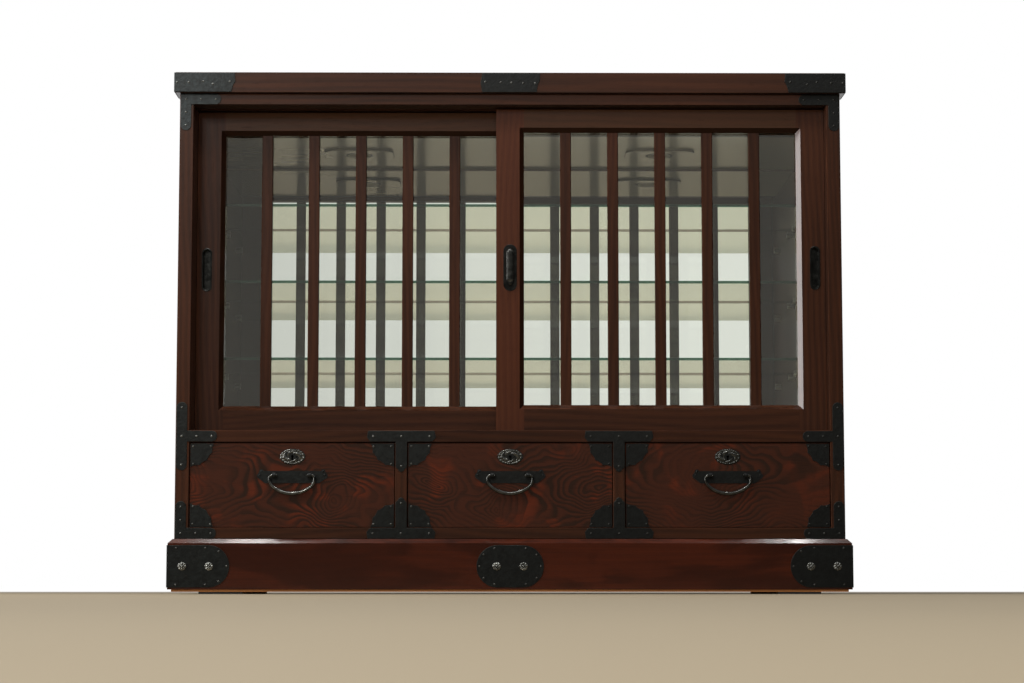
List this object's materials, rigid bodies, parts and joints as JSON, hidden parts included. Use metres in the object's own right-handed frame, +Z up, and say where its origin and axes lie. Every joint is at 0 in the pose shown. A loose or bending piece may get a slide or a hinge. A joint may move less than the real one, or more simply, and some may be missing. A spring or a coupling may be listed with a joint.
{
  "type": "display cabinet",
  "caption": "Low glass-fronted display chest with sliding lattice doors, glass shelves and a mirror back over a row of drawers with iron handles, on a plinth.",
  "frame": {"origin": "on the floor under the middle of the whole piece, fittings included", "axes": "+X to the right along the front, +Y from the front to the back, +Z up"},
  "size_m": [1.204, 0.448, 0.9295],
  "materials": {
    "wood_dark": "dark red-brown lacquer, satin",
    "wood_plinth": "red-brown lacquer, satin",
    "wood_figured": "figured veneer under red-brown lacquer, glossy",
    "wood_raw": "bare orange-brown wood",
    "wood_pale": "plain pale wood",
    "ceiling": "grey-beige painted panel, matt",
    "mirror": "silvered glass",
    "glass": "clear glass with green edges",
    "lamp_metal": "grey-beige paint, satin",
    "lamp_lens": "frosted lens",
    "gland": "black plastic",
    "pad": "dark pads",
    "steel": "plain steel",
    "iron": "blackened iron, dull"
  },
  "bodies": {
    "cabinet": {"top_board": "wood_dark", "side_left": "wood_dark", "side_right": "wood_dark", "head_rail": "wood_dark", "sill_rail": "wood_dark", "bottom_rail": "wood_dark", "drawer_dividers": "wood_dark", "ceiling_fascia": "wood_dark", "plinth_front": "wood_plinth", "plinth_frame": "wood_plinth", "plinth_battens": "wood_raw", "case_floor": "wood_pale", "bottom_board": "wood_pale", "back_panel": "wood_pale", "ceiling_panel": "ceiling", "back_mirror": "mirror", "shelf_top": "glass", "shelf_middle": "glass", "shelf_bottom": "glass", "lamp_housings": "lamp_metal", "lamp_lenses": "lamp_lens", "cable_gland": "gland", "foot_pads": "pad", "shelf_pins": "steel", "top_board_irons": "iron", "case_irons": "iron", "plinth_irons": "iron", "plinth_rosettes": "iron", "iron_nails": "iron"},
    "left_door": {"left_door_stiles": "wood_dark", "left_door_rails": "wood_dark", "left_door_bars": "wood_dark", "left_door_glass": "glass", "left_door_pull": "iron"},
    "right_door": {"right_door_stiles": "wood_dark", "right_door_rails": "wood_dark", "right_door_bars": "wood_dark", "right_door_glass": "glass", "right_door_pulls": "iron"},
    "left_drawer": {"left_drawer_front": "wood_figured", "left_drawer_box": "wood_pale", "left_drawer_irons": "iron", "left_drawer_backplate": "iron", "left_drawer_lock": "iron"},
    "left_bail": {"left_drawer_bail": "iron"},
    "left_bolt": {"left_drawer_bolt": "steel"},
    "middle_drawer": {"middle_drawer_front": "wood_figured", "middle_drawer_box": "wood_pale", "middle_drawer_irons": "iron", "middle_drawer_backplate": "iron", "middle_drawer_lock": "iron"},
    "middle_bail": {"middle_drawer_bail": "iron"},
    "middle_bolt": {"middle_drawer_bolt": "steel"},
    "right_drawer": {"right_drawer_front": "wood_figured", "right_drawer_box": "wood_pale", "right_drawer_irons": "iron", "right_drawer_backplate": "iron", "right_drawer_lock": "iron"},
    "right_bail": {"right_drawer_bail": "iron"},
    "right_bolt": {"right_drawer_bolt": "steel"}
  },
  "joints": [
    {"name": "left_door_slide", "type": "slide", "parent": "cabinet", "child": "left_door", "axis": [1, 0, 0], "range_m": [0, 0.54]},
    {"name": "right_door_slide", "type": "slide", "parent": "cabinet", "child": "right_door", "axis": [-1, 0, 0], "range_m": [0, 0.54]},
    {"name": "left_drawer_slide", "type": "slide", "parent": "cabinet", "child": "left_drawer", "axis": [0, -1, 0], "range_m": [0, 0.3]},
    {"name": "left_bail_hinge", "type": "hinge", "parent": "left_drawer", "child": "left_bail", "pos_m": [-0.38443, -0.212, 0.2083], "axis": [-1, 0, 0], "range_deg": [0, 95]},
    {"name": "left_bolt_slide", "type": "slide", "parent": "left_drawer", "child": "left_bolt", "axis": [0, 0, 1], "range_m": [0, 0.006]},
    {"name": "middle_drawer_slide", "type": "slide", "parent": "cabinet", "child": "middle_drawer", "axis": [0, -1, 0], "range_m": [0, 0.3]},
    {"name": "middle_bail_hinge", "type": "hinge", "parent": "middle_drawer", "child": "middle_bail", "pos_m": [0, -0.212, 0.2083], "axis": [-1, 0, 0], "range_deg": [0, 95]},
    {"name": "middle_bolt_slide", "type": "slide", "parent": "middle_drawer", "child": "middle_bolt", "axis": [0, 0, 1], "range_m": [0, 0.006]},
    {"name": "right_drawer_slide", "type": "slide", "parent": "cabinet", "child": "right_drawer", "axis": [0, -1, 0], "range_m": [0, 0.3]},
    {"name": "right_bail_hinge", "type": "hinge", "parent": "right_drawer", "child": "right_bail", "pos_m": [0.38443, -0.212, 0.2083], "axis": [-1, 0, 0], "range_deg": [0, 95]},
    {"name": "right_bolt_slide", "type": "slide", "parent": "right_drawer", "child": "right_bolt", "axis": [0, 0, 1], "range_m": [0, 0.006]}
  ]
}
